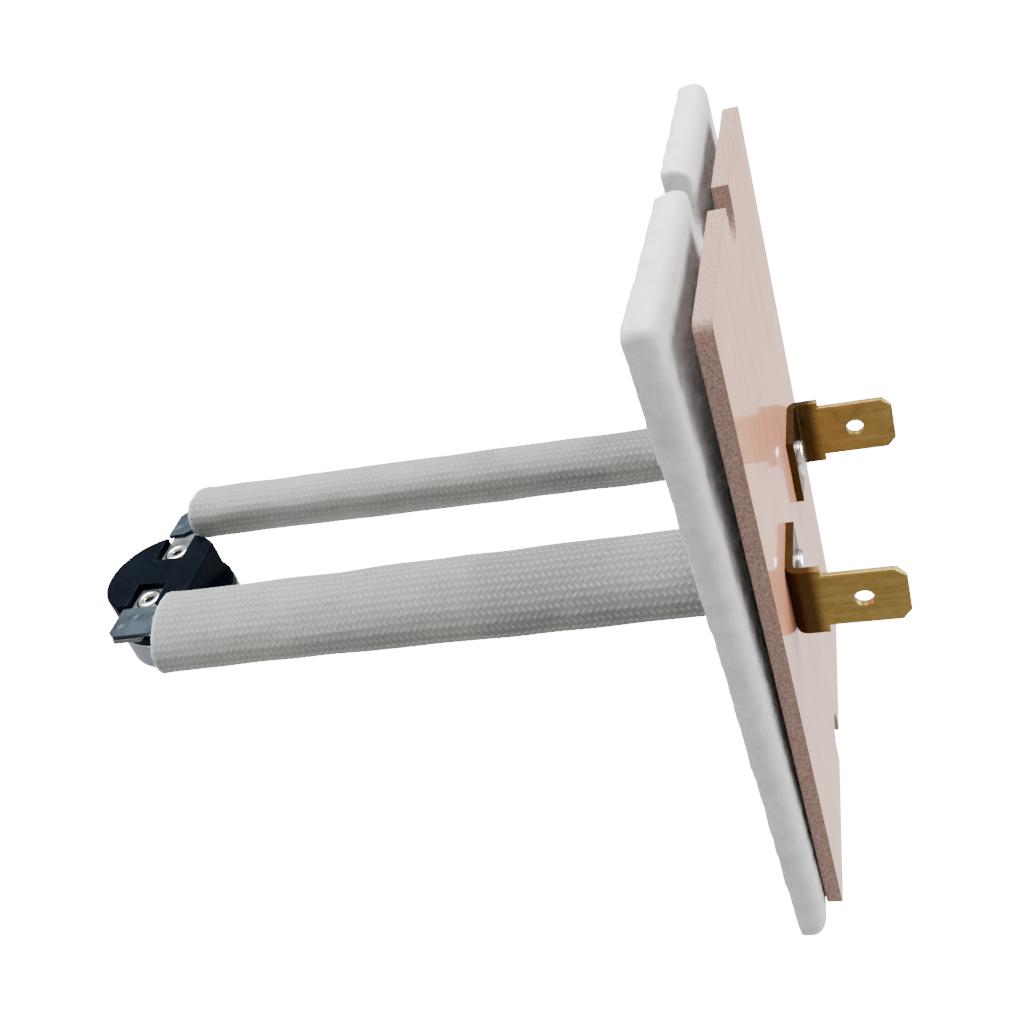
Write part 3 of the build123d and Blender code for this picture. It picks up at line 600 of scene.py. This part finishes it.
def soft_gasket():
    """The gasket as fibre felt: soft edges, a lumpy skin and a near top corner that stands off."""
    source = frame["nodes"]["gasket"]
    piece = bpy.data.objects.new("felt_gasket", source.data.copy())
    bpy.context.scene.collection.objects.link(piece)
    remesh = piece.modifiers.new("remesh", "REMESH")
    remesh.mode = "VOXEL"
    remesh.voxel_size = VOXEL
    soften = piece.modifiers.new("soften", "SMOOTH")
    soften.factor = 0.5
    soften.iterations = 4
    bpy.context.view_layer.update()
    shaped = piece.evaluated_get(bpy.context.evaluated_depsgraph_get())
    mesh = bpy.data.meshes.new_from_object(shaped)
    piece.modifiers.clear()
    piece.data = mesh
    count = len(mesh.vertices)
    points = np.zeros(count * 3)
    mesh.vertices.foreach_get("co", points)
    points = points.reshape(-1, 3)
    normals = np.zeros(count * 3)
    mesh.vertices.foreach_get("normal", normals)
    normals = normals.reshape(-1, 3)
    lift = np.array([LUMP * noise.fractal(Vector(p) * 520, 0.8, 2.1, 4) for p in points]) - SHRINK
    points += normals * lift[:, None]
    low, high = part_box("gasket")
    up = (points[:, 2] - low.z) / (high.z - low.z)
    near = (high.y - points[:, 1]) / (high.y - low.y)
    stand_off = np.clip(up - 0.55, 0, 1) ** 2 * np.clip(near - 0.45, 0, 1) ** 2
    points[:, 0] -= STAND_OFF * stand_off
    lean = (high.x - low.x - THICKNESS) / (high.z - low.z)
    front = high.x - lean * (points[:, 2] - low.z)
    buried = np.clip((front - points[:, 0]) / THICKNESS, 0, 1)
    ease = np.clip(1 - buried * THICKNESS / ROUNDING, 0, 1)
    pull = ROUNDING * (1 - np.sqrt(1 - ease ** 2))
    for axis in (1, 2):
        side, inside = away_from_middle(points[:, axis], low[axis], high[axis])
        points[:, axis] -= side * pull * np.clip(1 - inside / ROUNDING, 0, 1)
    points[:, 2] += PROUD * np.clip((up - 0.72) / 0.28, 0, 1)
    top = np.clip((points[:, 2] - 0.0300) / 0.0035, 0, 1)
    beside = np.clip((points[:, 1] + 0.0090) / 0.0063, 0, 1) ** 2 * (points[:, 1] < -0.0018)
    points[:, 1] += SLOT_PUSH * top * beside * (1 - buried)
    far_edge = np.clip(1 - (high.y - points[:, 1]) / 0.004, 0, 1)
    points[:, 1] += (FAR_FLARE - FAR_TAPER * buried) * far_edge
    mesh.vertices.foreach_set("co", points.ravel())
    # Painted shade for the hollows of the felt's skin, kept as a point attribute for its material.
    mesh.attributes.new("hollow_shade", "FLOAT", "POINT").data.foreach_set(
        "value", np.clip(-lift / 0.0003, 0, 1).astype(np.float32)
    )
    mesh.polygons.foreach_set("use_smooth", [True] * len(mesh.polygons))
    mesh.materials.clear()
    mesh.materials.append(felt())
    mesh.update()
    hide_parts("gasket")
    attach(piece, "housing")
    return piece


soft_gasket()


# ------------------------------------------------------------------ floor, light and camera
FLOOR_SIZE = 12.0
FLOOR_DROP = 0.02
FLOOR_GLOW = 16.0  # keeps the floor plain white without lighting the object


def floor():
    """A plain pale floor below the plate's lower edge."""
    half = FLOOR_SIZE / 2
    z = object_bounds()[0][2] - FLOOR_DROP
    mesh = bpy.data.meshes.new("floor")
    corners = [(-half, -half, z), (half, -half, z), (half, half, z), (-half, half, z)]
    mesh.from_pydata(corners, [], [(0, 1, 2, 3)])
    f = Finish("floor")
    f.set("Base Color", (0.93, 0.93, 0.93, 1))
    f.set("Roughness", 1.0)
    f.set("Specular IOR Level", 0.0)
    f.set("Emission Color", (1, 1, 1, 1))
    f.set("Emission Strength", FLOOR_GLOW)
    mesh.materials.append(f.material)
    piece = bpy.data.objects.new("floor", mesh)
    piece.visible_diffuse = False
    piece.visible_glossy = False
    piece.visible_shadow = False
    bpy.context.scene.collection.objects.link(piece)
    piece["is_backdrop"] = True


def area_light(name, place, aim, size, power):
    data = bpy.data.lights.new(name, "AREA")
    data.shape = "RECTANGLE"
    data.size, data.size_y = size
    data.energy = power
    lamp = bpy.data.objects.new(name, data)
    lamp.location = place
    direction = Vector(aim) - Vector(place)
    lamp.rotation_euler = direction.to_track_quat("-Z", "Y").to_euler()
    bpy.context.scene.collection.objects.link(lamp)


def studio_world(low, level, high):
    """Even grey surroundings, brightest below, as over a pale table."""
    world = bpy.data.worlds.new("studio")
    world.use_nodes = True
    tree = world.node_tree
    place = tree.nodes.new("ShaderNodeTexCoord")
    split = tree.nodes.new("ShaderNodeSeparateXYZ")
    tree.links.new(place.outputs["Generated"], split.inputs[0])
    ramp = tree.nodes.new("ShaderNodeValToRGB")
    ramp.color_ramp.elements[0].color = (low, low, low, 1)
    ramp.color_ramp.elements[1].color = (high, high, high, 1)
    middle = ramp.color_ramp.elements.new(0.5)
    middle.color = (level, level, level, 1)
    shift = tree.nodes.new("ShaderNodeMath")
    shift.operation = "MULTIPLY_ADD"
    shift.inputs[1].default_value = 0.5
    shift.inputs[2].default_value = 0.5
    tree.links.new(split.outputs[2], shift.inputs[0])
    tree.links.new(shift.outputs[0], ramp.inputs[0])
    tree.links.new(ramp.outputs[0], tree.nodes["Background"].inputs[0])
    bpy.context.scene.world = world


floor()
area_light("overhead", (-0.14, 0.12, 0.40), (-0.03, 0, 0), (0.42, 0.34), 7.6)
area_light("front_right", (0.38, 0.16, 0.20), (0, 0, 0), (0.30, 0.30), 5.6)
studio_world(1.66, 0.86, 0.46)

CAMERA_PLACE = Vector((0.015924, -0.109069, 0.083254))
RIGHT = Vector((0.94220426, 0.17982818, -0.28268880))
DOWN = Vector((-0.11765328, -0.61242522, -0.78172441))
FORWARD = Vector((-0.31370183, 0.76980333, -0.55587228))
camera_data = bpy.data.cameras.new("camera")
camera_data.sensor_width = 36.0
camera_data.lens = 44.66
camera_data.clip_start = 0.005
camera = bpy.data.objects.new("camera", camera_data)
pose = Matrix((RIGHT, -DOWN, -FORWARD)).transposed().to_4x4()
pose.translation = CAMERA_PLACE
camera.matrix_world = pose
bpy.context.scene.collection.objects.link(camera)
bpy.context.scene.camera = camera
